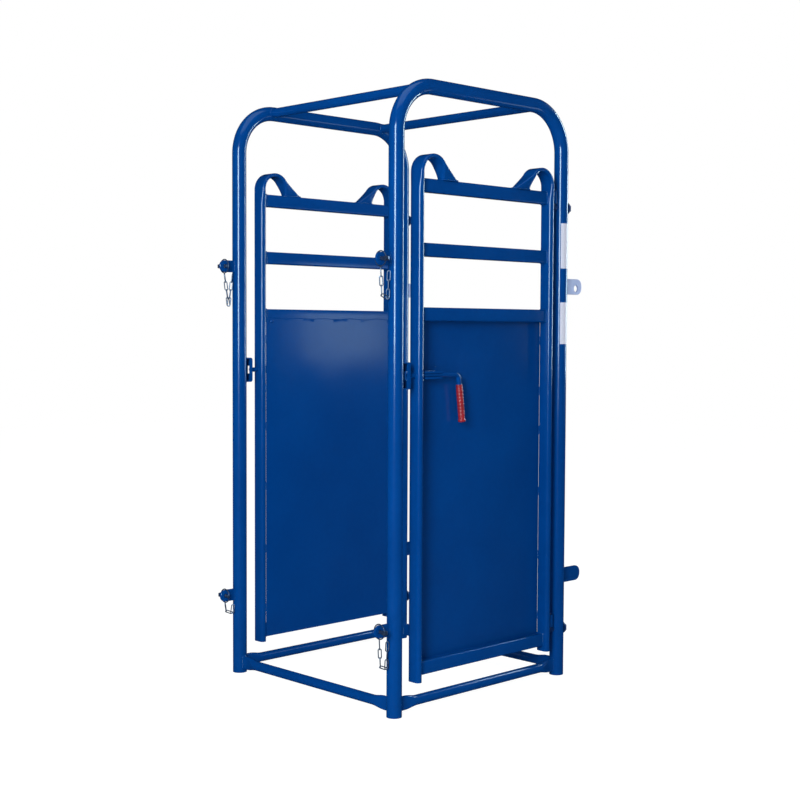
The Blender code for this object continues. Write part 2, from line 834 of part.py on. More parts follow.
def gate(side, label):
    """One side gate, closed."""
    x = side * hoop_x
    latch = stile(side, latch_stile_y, 1, "latch_" + label)
    boolean(latch, bolt_bores[side])
    hinge = stile(side, hinge_stile_y, -1, "hinge_" + label)
    eye_radius = hinge_y - hinge_stile_y - half_stile + eye_weld_bite
    for height in (hinge_lower_height, hinge_upper_height):
        low = height + eye_lift
        eye = cylinder("hinge_eye", eye_radius, (x, hinge_y, low),
                       (x, hinge_y, low + eye_height), 20, None, cutters)
        bore = cylinder("eye_bore", hinge_pin_radius + running_gap,
                        (x, hinge_y, low - 0.01), (x, hinge_y, low + eye_height + 0.01),
                        20, None, cutters)
        boolean(hinge, hide(eye), "UNION")
        boolean(hinge, hide(bore))
    gate_rail(side, gate_top_rail_height, "gate_top_rail_" + label)
    gate_rail(side, gate_second_rail_height, "gate_second_rail_" + label)
    gate_rail(side, panel_top_rail_height, "panel_top_rail_" + label)
    gate_rail(side, panel_bottom_rail_height, "panel_bottom_rail_" + label)
    sheet(side, label)
    guide(side, label)
    wire("slide_bolt_" + label, bolt_path(side), bolt_radius, 4, blue_paint)
    grip(side, label)


bolt_bores = {}
for side in (-1, 1):
    x = side * (hoop_x + bolt_offset)
    tool = cylinder("bolt_bore", bolt_radius + running_gap, (x, front_y + leg_radius, bolt_height),
                    (x, front_y + bolt_handle_inset, bolt_height), 20, None, cutters)
    bolt_bores[side] = hide(tool)

sides = ((-1, "left"), (1, "right"))
for side, label in sides:
    hoop(side, label)
    x = side * hoop_x
    lower_rail("lower_rail_" + label, (x, front_y, lower_rail_height),
               (x, rear_y, lower_rail_height), side, side)
    for level, height in (("lower", lug_lower_height), ("upper", lug_upper_height)):
        lug(side, height, level + "_" + label)
        snap_pin(side, height, level + "_" + label)
        snap_ring(side, height, level + "_" + label)
    for level, height in (("lower", hinge_lower_height), ("upper", hinge_upper_height)):
        hinge_bolt(side, height, level + "_" + label)
        hinge_nut(side, height, level + "_" + label)
    rear_tab(side, tab_upper_height, tab_upper_depth, tab_upper_reach, True, zinc,
             "upper_" + label)
    rear_tab(side, tab_lower_height, tab_lower_depth, tab_lower_reach, False, blue_paint,
             "lower_" + label)
    keeper(side, label)
    gate(side, label)

for y, label in ((front_y, "front"), (rear_y, "rear")):
    lower_rail("lower_rail_" + label, (-hoop_x, y, lower_rail_height),
               (hoop_x, y, lower_rail_height), -1, 1)
top_rail(front_y + top_rail_front_inset, "front")
top_rail(rear_y - top_rail_rear_inset, "rear")

chain(1, lug_lower_height, (3, 1, 3), "lower_right")
chain(-1, lug_lower_height, (1, 1, 1), "lower_left")
chain(1, lug_upper_height, (3, 1, 3), "upper_right")
chain(-1, lug_upper_height, (4, 0, 4), "upper_left")
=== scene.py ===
# %% [markdown]
# An insemination cage stands behind a cattle chute. A technician steps in through a side gate
# and is safe from the next animal. It is bent and welded steel tube under glossy blue paint, so
# nearly all of its look comes from round surfaces that catch long lights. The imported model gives
# the frame that every piece below stands on, and this first cell loads it.

import bpy
import numpy as np
from mathutils import Euler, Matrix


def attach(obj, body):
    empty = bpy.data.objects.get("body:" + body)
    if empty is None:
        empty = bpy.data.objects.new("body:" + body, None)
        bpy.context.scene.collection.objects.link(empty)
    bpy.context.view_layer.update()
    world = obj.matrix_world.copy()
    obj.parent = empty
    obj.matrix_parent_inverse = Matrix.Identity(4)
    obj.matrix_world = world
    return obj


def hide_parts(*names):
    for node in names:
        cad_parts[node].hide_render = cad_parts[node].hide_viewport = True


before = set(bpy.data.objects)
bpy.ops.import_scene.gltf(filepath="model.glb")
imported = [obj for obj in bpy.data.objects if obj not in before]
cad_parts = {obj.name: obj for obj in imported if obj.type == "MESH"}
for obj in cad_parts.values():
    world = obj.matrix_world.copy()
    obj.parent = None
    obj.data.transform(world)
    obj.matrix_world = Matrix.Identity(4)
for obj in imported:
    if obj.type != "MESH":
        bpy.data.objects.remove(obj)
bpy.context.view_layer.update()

# %% [markdown]
# The camera comes from the photograph: the edges of the legs and rails were followed to their
# vanishing points, which gives the lens, the height and the turn. A lens of about 62 mm on a
# 36 mm sensor sees the cage from its front right corner, a little above the middle.

# %% The camera
camera_data = bpy.data.cameras.new("camera")
camera_data.lens = 61.894
camera_data.sensor_width = 36.0
camera_data.clip_end = 60.0
camera = bpy.data.objects.new("camera", camera_data)
camera.location = (3.5744, -3.4760, 1.2515)
camera.rotation_euler = Euler(np.radians((87.0781, -0.2570, 45.9240)).tolist(), "XYZ")
bpy.context.scene.collection.objects.link(camera)
bpy.context.scene.camera = camera
bpy.context.scene.view_settings.view_transform = "Standard"
print("camera lens", camera_data.lens)

# %% [markdown]
# The cage's own sizes, in metres. The two hoops stand at X = -hoop and +hoop, and their legs
# at Y = front and Y = rear. Everything else is measured from these lines, as a welder would.
# Round and oval shapes are given by radius or half width, walls and rectangular tube in full.
# A gap is the air between two solids that touch in the real cage.

# %% The sizes
hoop = 0.4075
front = -0.4285
rear = 0.3915
leg = 0.0254
leg_wall = 0.0026
top = 2.0383
bend = 0.157
rail = 0.0167
latch_y = front + 0.095
hinge_y = rear - 0.0745
pivot_y = rear - 0.0465
half_stile = 0.0127
gate_rail_face = 0.0095
gate_rail_deep = 0.03175
gate_rail_tall = 0.04445
rail_heights = {"gate_top_rail": 1.720, "gate_second_rail": 1.512,
                "panel_top_rail": 1.3028, "panel_bottom_rail": 0.1392}
bolt_z = 1.104
bolt_x = hoop + 0.003
lug_reach = 0.067
lug_half = 0.021
lug_hole_y = front - lug_reach
lug_heights = {"lower": 0.288, "upper": 1.476}
sides = {"left": -1, "right": 1}
top_rail_y = {"front": front + 0.142, "rear": rear - 0.131}
tabs = {"upper": (1.410, 0.056), "lower": (0.360, 0.054)}
floor_rail_z = 0.0373
rail_wall = 0.0023
crimp_half = (0.007, 0.024)
stile_wide = 0.0254
gate_wall = 0.002
hinge_heights = {"lower": 0.168, "upper": 1.690}
eye_rise = 0.0129
eye_tall = 0.045
eye_radius = 0.0163
eye_wall = 0.0064
washer_thick = 0.004
nut_tall = 0.008
keeper_half = 0.043
guide_half = 0.0127
ring_radius = 0.024
ring_wire = 0.002
link_wire = 0.0018
gap = 0.0003
print("legs at y", front, rear)

# %% [markdown]
# Every new piece is a grid of points: rings that follow one another, each a closed loop. A tube
# with a real wall is a grid that runs out along the outside and back along the inside, so its
# two ends join and it closes on itself. Faces are found by counting along the grid, and the
# signed volume says if they point outwards.


# %% From a grid of rings to faces
def shell(rings, wrap=False):
    """Faces of one closed surface from rings (n, m, 3).

    Ring i joins ring i + 1, and with wrap the last joins the first. Without wrap each end is
    closed by a fan to the ring's mean point.
    """
    rings = np.asarray(rings, dtype=float)
    n, m, _ = rings.shape
    points = rings.reshape(-1, 3)
    i = np.arange(n if wrap else n - 1)[:, None]
    j = np.arange(m)[None, :]
    ahead = (j + 1) % m
    below = ((i + 1) % n) * m
    quads = np.stack([i * m + j, i * m + ahead, below + ahead, below + j], -1).reshape(-1, 4)
    fans = np.zeros((0, 3), dtype=int)
    if not wrap:
        points = np.vstack([points, rings[0].mean(0), rings[-1].mean(0)])
        j = np.arange(m)
        k = (j + 1) % m
        first = np.stack([np.full(m, n * m), k, j], -1)
        last = np.stack([np.full(m, n * m + 1), (n - 1) * m + j, (n - 1) * m + k], -1)
        fans = np.vstack([first, last])
    three = np.vstack([quads[:, [0, 1, 2]], quads[:, [0, 2, 3]], fans])
    corner = points[three]
    volume = np.einsum("ij,ij->i", corner[:, 0], np.cross(corner[:, 1], corner[:, 2])).sum()
    if volume < 0:
        quads = quads[:, ::-1]
        fans = fans[:, ::-1]
    return points, quads, fans


def piece(name, shells, look, body, stands_for=(), sharp=40.0):
    """Joins shells into one mesh, gives it its look and lets it ride on its body."""
    points = []
    faces = []
    count = 0
    for spots, quads, fans in shells:
        points += spots.tolist()
        faces += (quads + count).tolist() + (fans + count).tolist()
        count += len(spots)
    mesh = bpy.data.meshes.new(name)
    mesh.from_pydata(points, [], faces)
    mesh.shade_smooth()
    mesh.set_sharp_from_angle(angle=np.radians(sharp))
    mesh.materials.append(look["material"])
    made = bpy.data.objects.new(name, mesh)
    bpy.context.scene.collection.objects.link(made)
    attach(made, body)
    if stands_for:
        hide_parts(*stands_for)


# %% [markdown]
# Most pieces here are a flat outline carried along a bent line. The line lies in one plane, with
# axes a and b, and the outline's first number runs across that plane, along c. This one function
# bends the hoops, the rails, the stiles, the bolts and the rings.


# %% Outlines, lines and the sweep
X, Y, Z = np.eye(3)


def smooth(t):
    """Eases from 0 to 1."""
    t = np.clip(t, 0, 1)
    return t * t * (3 - 2 * t)


def circle(radius, count):
    """A round outline: radius times (cos t, sin t) for t round the full turn."""
    t = 2 * np.pi * np.arange(count) / count
    return radius * np.stack([np.cos(t), np.sin(t)], -1)


def circles(radii, count):
    """A round outline for each of several radii."""
    return circle(1.0, count)[None] * np.asarray(radii)[:, None, None]


def oval(half_u, half_v, count):
    """A flat oval: two half circles of the shorter half width, drawn apart by straight sides."""
    t = 2 * np.pi * (np.arange(count) + 0.5) / count
    short = min(half_u, half_v)
    u = np.cos(t) * short + np.sign(np.cos(t)) * (half_u - short)
    v = np.sin(t) * short + np.sign(np.sin(t)) * (half_v - short)
    return np.stack([u, v], -1)


def rounded(half_u, half_v, corner, steps=5):
    """A rectangle with round corners: a quarter circle about each corner's centre in turn."""
    t = np.linspace(0, np.pi / 2, steps + 1)
    loops = []
    for k, (su, sv) in enumerate(((1, 1), (-1, 1), (-1, -1), (1, -1))):
        turn = t + k * np.pi / 2
        loops.append(np.stack([su * (half_u - corner) + corner * np.cos(turn),
                               sv * (half_v - corner) + corner * np.sin(turn)], -1))
    return np.vstack(loops)


def arc(centre, radius, start, end, steps):
    """Points on a circle from one angle to another, both in degrees."""
    t = np.radians(np.linspace(start, end, steps + 1))
    return np.stack([centre[0] + radius * np.cos(t), centre[1] + radius * np.sin(t)], -1)


def carry(line, outline, origin, a, b, c):
    """Rings of an outline carried along a plane line.

    At each point the ring is point + u * c + v * normal, where the normal is the line's
    direction turned by a quarter. outline is (m, 2), or (n, m, 2) where it changes.
    """
    line = np.asarray(line, dtype=float)
    outline = np.asarray(outline, dtype=float)
    if outline.ndim == 2:
        outline = np.repeat(outline[None], len(line), 0)
    way = np.gradient(line, axis=0)
    way /= np.linalg.norm(way, axis=1)[:, None]
    normal = np.stack([-way[:, 1], way[:, 0]], -1)
    spot = line[:, None, :] + outline[..., 1:2] * normal[:, None, :]
    return (np.asarray(origin) + spot[..., 0:1] * a + spot[..., 1:2] * b
            + outline[..., 0:1] * c)


def walled(outer, inner):
    """Rings of an open-ended tube: out along its outer skin and back along its inner skin."""
    return shell(np.concatenate([outer, inner[::-1]]), wrap=True)


def round_tube(line, radius, wall, count, *axes):
    """A round tube with an open bore, carried along a plane line."""
    return walled(*[carry(line, circle(r, count), *axes) for r in (radius, radius - wall)])


def even(line, step):
    """The same line with points every step, by its running length."""
    line = np.asarray(line, dtype=float)
    run = np.concatenate([[0], np.cumsum(np.linalg.norm(np.diff(line, axis=0), axis=1))])
    count = max(int(run[-1] / step), 2)
    at = np.linspace(0, run[-1], count + 1)
    return np.stack([np.interp(at, run, line[:, k]) for k in range(line.shape[1])], -1)


# %% [markdown]
# Shader maths reads better as sums than as a web of nodes. A small class wraps a socket, and
# each operator adds the Math node that does it. A second class holds one material's tree.


# %% Materials as expressions
class Wire:
    """One output socket that can be added, multiplied and so on."""

    def __init__(self, tree, socket):
        self.tree = tree
        self.socket = socket

    def maths(self, operation, *values):
        step = self.tree.nodes.new("ShaderNodeMath")
        step.operation = operation
        for slot, value in zip(step.inputs, values):
            if isinstance(value, Wire):
                self.tree.links.new(value.socket, slot)
            else:
                slot.default_value = value
        return Wire(self.tree, step.outputs[0])

    def __add__(self, other):
        return self.maths("ADD", self, other)

    def __sub__(self, other):
        return self.maths("SUBTRACT", self, other)

    def __rsub__(self, other):
        return self.maths("SUBTRACT", other, self)

    def __mul__(self, other):
        return self.maths("MULTIPLY", self, other)

    def clamped(self):
        return self.maths("MINIMUM", self.maths("MAXIMUM", self, 0.0), 1.0)


class Finish:
    """A material under construction: a node tree with one Principled shader."""

    def __init__(self, name):
        self.material = bpy.data.materials.new(name)
        self.material.use_nodes = True
        self.tree = self.material.node_tree
        self.shader = self.tree.nodes["Principled BSDF"]
        self.place = self.node("ShaderNodeTexCoord", out="Object")

    def node(self, kind, settings=None, out=0, **inputs):
        """Adds a node, sets its settings first and then its sockets, and returns an output."""
        step = self.tree.nodes.new(kind)
        for key, value in (settings or {}).items():
            setattr(step, key, value)
        for key, value in inputs.items():
            self.put(step.inputs[key.replace("_", " ")], value)
        return Wire(self.tree, step.outputs[out])

    def put(self, slot, value):
        """Links a wire to a socket, or sets the socket's value."""
        if isinstance(value, Wire):
            self.tree.links.new(value.socket, slot)
        else:
            slot.default_value = value

    def noise(self, scale, detail=2.0, rough=0.5):
        return self.node("ShaderNodeTexNoise", Vector=self.place, Scale=scale, Detail=detail,
                         Roughness=rough)

    def mix(self, factor, first, second):
        """A colour between two colours."""
        step = self.tree.nodes.new("ShaderNodeMix")
        step.data_type = "RGBA"
        self.put(step.inputs[0], factor)
        self.put(step.inputs[6], first)
        self.put(step.inputs[7], second)
        return Wire(self.tree, step.outputs[2])

    def bump(self, height, distance):
        self.put(self.shader.inputs["Normal"],
                 self.node("ShaderNodeBump", Height=height, Distance=distance, Strength=1.0))

    def done(self, slot, **inputs):
        for key, value in inputs.items():
            self.put(self.shader.inputs[key.replace("_", " ")], value)
        return {"material": self.material, "slot": slot}


def colour(red, green, blue):
    """A colour written as it looks on a screen, 0 to 255, turned to linear light."""
    part = np.array([red, green, blue]) / 255.0
    linear = np.where(part <= 0.04045, part / 12.92, ((part + 0.055) / 1.055) ** 2.4)
    return (*linear.tolist(), 1.0)


# %% [markdown]
# The blue is a baked gloss enamel. It pools a little, so its depth drifts over a hand's width,
# its skin has a very fine orange peel, and the flat sheet has less peel than the tube. A faint
# dust dulls patches of the gloss. The bump stays tiny, or the long highlights would break.


# %% The blue enamel
def enamel(name, deep, bright, gloss, peel):
    """Blue paint between two blues, with pooled depth, dusty patches and orange peel."""
    paint = Finish(name)
    pool = paint.noise(3.1, 3.0, 0.55)
    speck = paint.noise(55.0, 2.0, 0.6)
    dust = ((paint.noise(9.0, 4.0, 0.65) - 0.5) * 4.0).clamped()
    shade = (pool * 0.75 + speck * 0.25 - 0.3) * 2.2
    blue = paint.mix(shade.clamped(), deep, bright)
    paint.bump(paint.noise(420.0, 1.0) + paint.noise(130.0, 1.0) * 0.6, peel)
    return paint.done("blue_paint", Base_Color=blue, Roughness=dust * 0.05 + gloss,
                      Specular_IOR_Level=0.4)


tube_blue = enamel("tube_blue", colour(0, 56, 120), colour(0, 66, 136), 0.15, 0.000010)
sheet_blue = enamel("sheet_blue", colour(0, 56, 121), colour(0, 64, 133), 0.17, 0.000008)
print("blue enamel ready")

# %% [markdown]
# The chains are zinc plate, cloudy rather than clean; the blue cast in its colours is painted
# reflection of the blue paint round it.
# The pins and rings are darker steel, and the plated tab on the rear leg is pale. The hinge
# bolts and nuts were painted over and look like dark steel with blue in it. The grip is dipped
# vinyl: soft red with a waxy shine.

# %% Zinc, dark steel, vinyl and label white
def plated(name, dark, light, gloss, slot, metal):
    """Plating whose cloudiness comes from two noises, the finer one in the gloss too."""
    skin = Finish(name)
    cloud = skin.noise(60.0, 4.0, 0.6)
    grain = skin.noise(380.0, 3.0, 0.6)
    mixed = (cloud * 0.6 + grain * 0.4 - 0.32) * 2.6
    skin.bump(grain, 0.00004)
    return skin.done(slot, Base_Color=skin.mix(mixed.clamped(), dark, light),
                     Roughness=grain * 0.2 + gloss, Metallic=metal)


def vinyl():
    """Red dipped vinyl, a touch darker where it was handled."""
    skin = Finish("red_vinyl")
    worn = ((skin.noise(45.0, 3.0) - 0.42) * 3.0).clamped()
    skin.bump(skin.noise(900.0, 2.0), 0.00003)
    return skin.done("red_vinyl", Base_Color=skin.mix(worn, colour(164, 34, 42),
                                                      colour(138, 22, 32)),
                     Roughness=worn * 0.1 + 0.26)


def label():
    """A blank label: white film over a faint honeycomb of reflective cells."""
    skin = Finish("label_white")
    cells = skin.node("ShaderNodeTexVoronoi", {"feature": "DISTANCE_TO_EDGE"},
                      Vector=skin.place, Scale=260.0)
    lines = ((0.12 - cells) * 8.0).clamped()
    return skin.done("zinc_plate", Base_Color=skin.mix(lines * 0.5, colour(228, 210, 222),
                                                       colour(176, 168, 184)),
                     Roughness=lines * 0.1 + 0.3)


pin_steel = plated("pin_steel", colour(44, 58, 92), colour(92, 108, 140), 0.2, "zinc_plate", 0.7)
# The blue in both chain colours is painted reflection of the cage's paint; the cloudiness is the
# zinc's own.
chain_zinc = plated("chain_zinc", colour(50, 66, 104), colour(150, 160, 184), 0.24,
                    "zinc_plate", 0.8)
tab_zinc = plated("tab_zinc", colour(158, 158, 198), colour(184, 180, 212), 0.34,
                  "zinc_plate", 0.25)
dark_steel = plated("dark_steel", colour(10, 44, 96), colour(22, 62, 120), 0.26,
                    "dark_steel", 0.15)
red_vinyl = vinyl()
label_white = label()
print("small finishes ready")

# %% [markdown]
# Each side hoop is one tube, bent twice. Its line runs up the front leg, round a quarter turn
# of 157 mm, along the top and down again. The wall is real, because the feet stand open on
# the floor and the camera of a low view looks into them.


# %% The hoops
def hoop_line():
    """Up, round, across, round and down, in the plane of Y and Z."""
    low = top - bend
    near = arc((front + bend, low), bend, 180, 90, 28)
    far = arc((rear - bend, low), bend, 90, 0, 28)
    start = np.stack([np.full(24, front), np.linspace(0, low, 25)[:-1]], -1)
    end = np.stack([np.full(24, rear), np.linspace(low, 0, 25)[1:]], -1)
    return np.vstack([start, near, far, end])


for label_side, side in sides.items():
    line = hoop_line()
    hoop_tube = round_tube(line, leg, leg_wall, 56, side * hoop * X, Y, Z, X)
    piece("hoop_tube_" + label_side, [hoop_tube], tube_blue, "frame", ["hoop_" + label_side])
print("hoops bent,", len(line), "points on each line")

# %% [markdown]
# The two top rails are plain round tube, cut to a saddle where they meet the hoops, so here
# they simply run into the hoops' skin. The four lower rails are round too, but each end was
# crimped in a press: over its last 75 mm the circle turns into a tall narrow oval.


# %% The round rails
def round_rail(y):
    """A straight round tube between the hoops."""
    line = np.stack([np.linspace(-hoop + 0.020, hoop - 0.020, 40), np.full(40, top)], -1)
    return round_tube(line, rail, rail_wall, 40, y * Y, X, Z, Y)


def crimp_share(distance):
    """0 in the round part and 1 at the pressed end, by a smooth step over 55 mm."""
    return 1 - smooth((distance - leg - 0.020) / 0.055)


def crimped_rail(start, end):
    """A floor rail: circle in the middle, tall oval at both ends."""
    start = np.array(start)
    end = np.array(end)
    length = np.linalg.norm(end - start)
    along = (end - start) / length
    across = np.array([-along[1], along[0], 0.0])
    edge = leg - 0.006
    inset = np.linspace(edge, leg + 0.080, 30)
    places = np.concatenate([inset, np.linspace(leg + 0.09, length - leg - 0.09, 12),
                             length - inset[::-1]])
    share = crimp_share(np.minimum(places, length - places))
    line = np.stack([places, np.zeros(len(places))], -1)
    skins = []
    half_wide, half_tall = crimp_half
    for less in (0.0, rail_wall):
        loops = [oval(rail + (half_wide - rail) * k - less, rail + (half_tall - rail) * k - less,
                      44) for k in share]
        skins.append(carry(line, loops, start, along, Z, across))
    return walled(*skins)


for name, y in top_rail_y.items():
    piece("top_rail_tube_" + name, [round_rail(y)], tube_blue, "frame", ["top_rail_" + name])
floor_runs = {
    "front": ((-hoop, front), (hoop, front)),
    "rear": ((-hoop, rear), (hoop, rear)),
    "left": ((-hoop, front), (-hoop, rear)),
    "right": ((hoop, front), (hoop, rear)),
}
for name, (start, end) in floor_runs.items():
    run = crimped_rail((*start, floor_rail_z), (*end, floor_rail_z))
    piece("floor_rail_" + name, [run], tube_blue, "frame", ["lower_rail_" + name])
print("six round rails")

# %% [markdown]
# A gate stile is flat-oval tube. At its head the maker crushed it flat and curled it over, and
# it lands on the top rail in a foot that opens out again. The outline is worked out along the
# line: oval, then flat band, then the foot, with a smooth step between each.

# %% The stiles with their arches
arch_radius = 0.0545
arch_base = 1.7605
foot_inset = 0.1435
foot_shift = 0.003
foot_wide = 0.0165
foot_long = 0.040
band_wide = 0.029
band_deep = 0.0065
rail_top = rail_heights["gate_top_rail"] + gate_rail_tall / 2


def stile_rings(side, y, inward, less):
    """Rings of a stile's skin, less metres inside its outer surface."""
    x = side * hoop
    up = np.concatenate([np.linspace(0.098, 1.66, 30), np.linspace(1.67, arch_base, 14)[:-1]])
    share_up = smooth((up - 1.705) / (arch_base - 1.705)) * 0.72
    turn = np.linspace(180, 38, 34)
    rise = np.radians(turn)
    share_arc = 0.72 + 0.28 * smooth((180 - turn) / 30)
    place = np.concatenate([np.zeros(len(up)), arch_radius + arch_radius * np.cos(rise)])
    height = np.concatenate([up, arch_base + arch_radius * np.sin(rise)])
    angle = np.concatenate([np.full(len(up), np.pi), rise])
    share = np.concatenate([share_up, share_arc])
    wide = stile_wide + (band_wide - stile_wide) * share - less
    deep = half_stile + (band_deep - half_stile) * share - less
    rings = []
    for k in range(len(place)):
        loop = oval(wide[k], deep[k], 48)
        s = place[k] + loop[:, 1] * np.cos(angle[k])
        z = height[k] + loop[:, 1] * np.sin(angle[k])
        rings.append(np.stack([x + loop[:, 0], y + inward * s, z], -1))
    last = rings[-1]
    outline = oval(band_wide, band_deep, 48)
    t = np.arctan2(outline[:, 1] / band_deep, outline[:, 0] / band_wide)
    half_wide = foot_wide - less
    half_long = foot_long - less
    out = np.sign(np.sin(t)) * (half_long - half_wide) + half_wide * np.sin(t)
    foot = np.stack([x - side * foot_shift + half_wide * np.cos(t),
                     y + inward * (foot_inset + out), np.full(48, rail_top)], -1)
    pull = np.array([0.0, inward * np.sin(rise[-1]), -np.cos(rise[-1])]) * 0.040
    lean = 0.75 + 0.55 * out / half_long
    flare = np.stack([np.zeros(48), inward * lean, np.full(48, -1.0)], -1) * 0.050
    for s in np.linspace(0, 1, 16)[1:]:
        h0, h1 = 2 * s**3 - 3 * s**2 + 1, s**3 - 2 * s**2 + s
        h2, h3 = -2 * s**3 + 3 * s**2, s**3 - s**2
        rings.append(h0 * last + h1 * pull + h2 * foot + h3 * flare)
    return np.array(rings)


for label_side, side in sides.items():
    for role, y, inward in (("latch", latch_y, 1), ("hinge", hinge_y, -1)):
        skins = [stile_rings(side, y, inward, less) for less in (0.0, gate_wall)]
        shells = [walled(*skins)]
        if role == "hinge":
            for height in hinge_heights.values():
                t = np.linspace(0, 1, 4)
                line = np.stack([np.zeros(4), height + eye_rise + eye_tall * t], -1)
                centre = side * hoop * X + pivot_y * Y
                shells.append(round_tube(line, eye_radius, eye_wall, 36, centre, Y, Z, X))
        piece("stile_%s_tube_%s" % (role, label_side), shells, tube_blue,
              "gate_" + label_side, ["stile_%s_%s" % (role, label_side)])
print("four stiles,", len(skins[0]), "rings each")

# %% [markdown]
# The gates' rails are rectangular tube with a soft corner. Each is a plain run of one outline,
# and its small corner radius is what draws the thin bright line along its edge.


# %% The gate rails
def gate_rail(side, height):
    """Rectangular tube from stile to stile."""
    line = np.stack([np.linspace(latch_y + half_stile - 0.001, hinge_y - half_stile + 0.001, 30),
                     np.zeros(30)], -1)
    centre = np.array([side * (hoop + gate_rail_face - gate_rail_deep / 2), 0.0, height])
    skins = []
    for less in (0.0, gate_wall):
        loop = rounded(gate_rail_deep / 2 - less, gate_rail_tall / 2 - less, 0.0055 - less)
        skins.append(carry(line, loop, centre, Y, Z, X))
    return walled(*skins)


for label_side, side in sides.items():
    for name, height in rail_heights.items():
        piece("%s_tube_%s" % (name, label_side), [gate_rail(side, height)], tube_blue,
              "gate_" + label_side, ["%s_%s" % (name, label_side)])
print("eight gate rails")

# %% [markdown]
# A welded sheet is never flat. Heat draws it between its stitch welds, so it dishes by a
# millimetre or two in long soft waves, and its upper edge, lapped on the inside of the panel's
# top rail, wanders between the welds. That is what bends the reflections in it.


# %% The sheets
sheet_inset = 0.0088
sheet_lap = 0.010
sheet_thick = 0.002


def sheet_edge(across):
    """How far the upper edge wanders, from one stile (0) to the other (1)."""
    return 0.0016 * np.sin(9.5 * np.pi * across + 0.6) + 0.0009 * np.sin(23 * across)


def sheet_rings(side):
    """Rings round a thin sheet: its outer face one way and its inner face back."""
    face = gate_rail_face - gate_rail_deep - gap
    y0 = latch_y + sheet_inset
    y1 = hinge_y - sheet_inset
    z0 = rail_heights["panel_bottom_rail"] - gate_rail_tall / 2
    z1 = rail_heights["panel_top_rail"] - gate_rail_tall / 2 + sheet_lap
    y = np.linspace(y0, y1, 46)[None, :]
    t = np.linspace(0, 1, 90)[:, None]
    across = (y - y0) / (y1 - y0)
    z = z0 + (z1 + sheet_edge(across) * t**8 - z0) * t
    inside = np.sin(np.pi * across) * np.sin(np.pi * t)
    wave = (0.0009 * np.sin(2.3 * np.pi * across + 0.4) * np.sin(3.1 * np.pi * t + 0.8)
            + 0.0005 * np.sin(5.1 * np.pi * across) * np.sin(7.3 * np.pi * t)) * inside
    puff = -0.0012 * inside
    w = face + wave + puff
    y = np.broadcast_to(y, z.shape)
    outer = np.stack([side * (hoop + w), y, z], -1)
    inner = np.stack([side * (hoop + w - sheet_thick), y, z], -1)
    return np.concatenate([outer, inner[:, ::-1]], axis=1)


for label_side, side in sides.items():
    piece("sheet_skin_" + label_side, [shell(sheet_rings(side))], sheet_blue,
          "gate_" + label_side, ["sheet_" + label_side], sharp=50)
print("two sheets")

# %% [markdown]
# Lugs and tabs are flame-cut plate. A plate with a hole is again a grid that closes on itself:
# round the outer edge, over a fine chamfer, across the back, through the hole and home.


# %% Lugs and tabs
plate_half = 0.004
plate_root = 0.0235
chamfer = 0.0006
plate_turn = -np.pi + 2 * np.pi * (np.arange(96) + 0.5) / 96
plate_way = np.stack([np.cos(plate_turn), np.sin(plate_turn)], -1)


def upright(loops, x, y, z):
    """Rings of flat outlines stood upright, each a little to the side of the plate's middle."""
    return [np.stack([np.full(len(loop), x + w), y + loop[:, 0], z + loop[:, 1]], -1)
            for loop, w in loops]


def plate(edge, hole, middle, x, y, z):
    """A flat plate with a round hole of one radius about its middle."""
    half = plate_half
    reach = np.linalg.norm(edge - middle, axis=1)[:, None]
    small = middle + (edge - middle) * (1 - chamfer / reach)
    bore = middle + hole * plate_way
    wide = middle + (hole + chamfer) * plate_way
    loops = ((small, half), (edge, half - chamfer), (edge, chamfer - half), (small, -half),
             (wide, -half), (bore, chamfer - half), (bore, half - chamfer), (wide, half))
    return shell(upright(loops, x, y, z), wrap=True)


def along_outline(corners, middle):
    """Points of a closed outline at equal angles about its middle."""
    closed = np.vstack([corners, corners[:1]])
    points = even(closed, 0.0004)[:-1]
    angle = np.arctan2(points[:, 1] - middle[1], points[:, 0] - middle[0])
    order = np.argsort(angle)
    radius = np.interp(plate_turn, angle[order], np.linalg.norm(points - middle, axis=1)[order],
                       period=2 * np.pi)
    return middle + radius[:, None] * plate_way


def lug(side, height):
    """A round-nosed plate whose hole is centred in the nose."""
    middle = np.array([-lug_reach, 0.0])
    nose = arc(middle, lug_half, 90, 270, 24)
    corners = np.vstack([nose, [[-plate_root, -lug_half], [-plate_root, lug_half]]])
    edge = along_outline(corners, middle)
    return plate(edge, 0.0065, middle, side * hoop, front, height)


def tab(side, height, depth, reach, hole, drop):
    """A round-cornered tab behind the rear leg, with or without a hole."""
    half = depth / 2
    corner = 0.025
    low_nose = arc((reach - corner, -half + corner), corner, -90, 0, 12)
    high_nose = arc((reach - corner, half - corner), corner, 0, 90, 12)
    corners = np.vstack([[[plate_root, -half]], low_nose, high_nose, [[plate_root, half]]])
    middle = np.array([reach - 0.031, -drop]) if hole else np.array([reach * 0.62, 0.0])
    edge = along_outline(corners, middle)
    if hole:
        return plate(edge, hole, middle, side * hoop, rear, height)
    small = middle + (edge - middle) * 0.985
    loops = ((small, plate_half), (edge, plate_half - chamfer), (edge, chamfer - plate_half),
             (small, -plate_half))
    return shell(upright(loops, side * hoop, rear, height))


for label_side, side in sides.items():
    for level, height in lug_heights.items():
        piece("lug_plate_%s_%s" % (level, label_side), [lug(side, height)], tube_blue,
              "frame", ["front_lug_%s_%s" % (level, label_side)], sharp=30)
    piece("tab_plate_upper_" + label_side, [tab(side, *tabs["upper"], 0.118, 0.0125, 0.006)],
          tab_zinc, "frame", ["rear_tab_upper_" + label_side], sharp=30)
    piece("tab_plate_lower_" + label_side, [tab(side, *tabs["lower"], 0.125, 0.0, 0.0)],
          tube_blue, "frame", ["rear_tab_lower_" + label_side], sharp=30)
print("lugs and tabs cut")

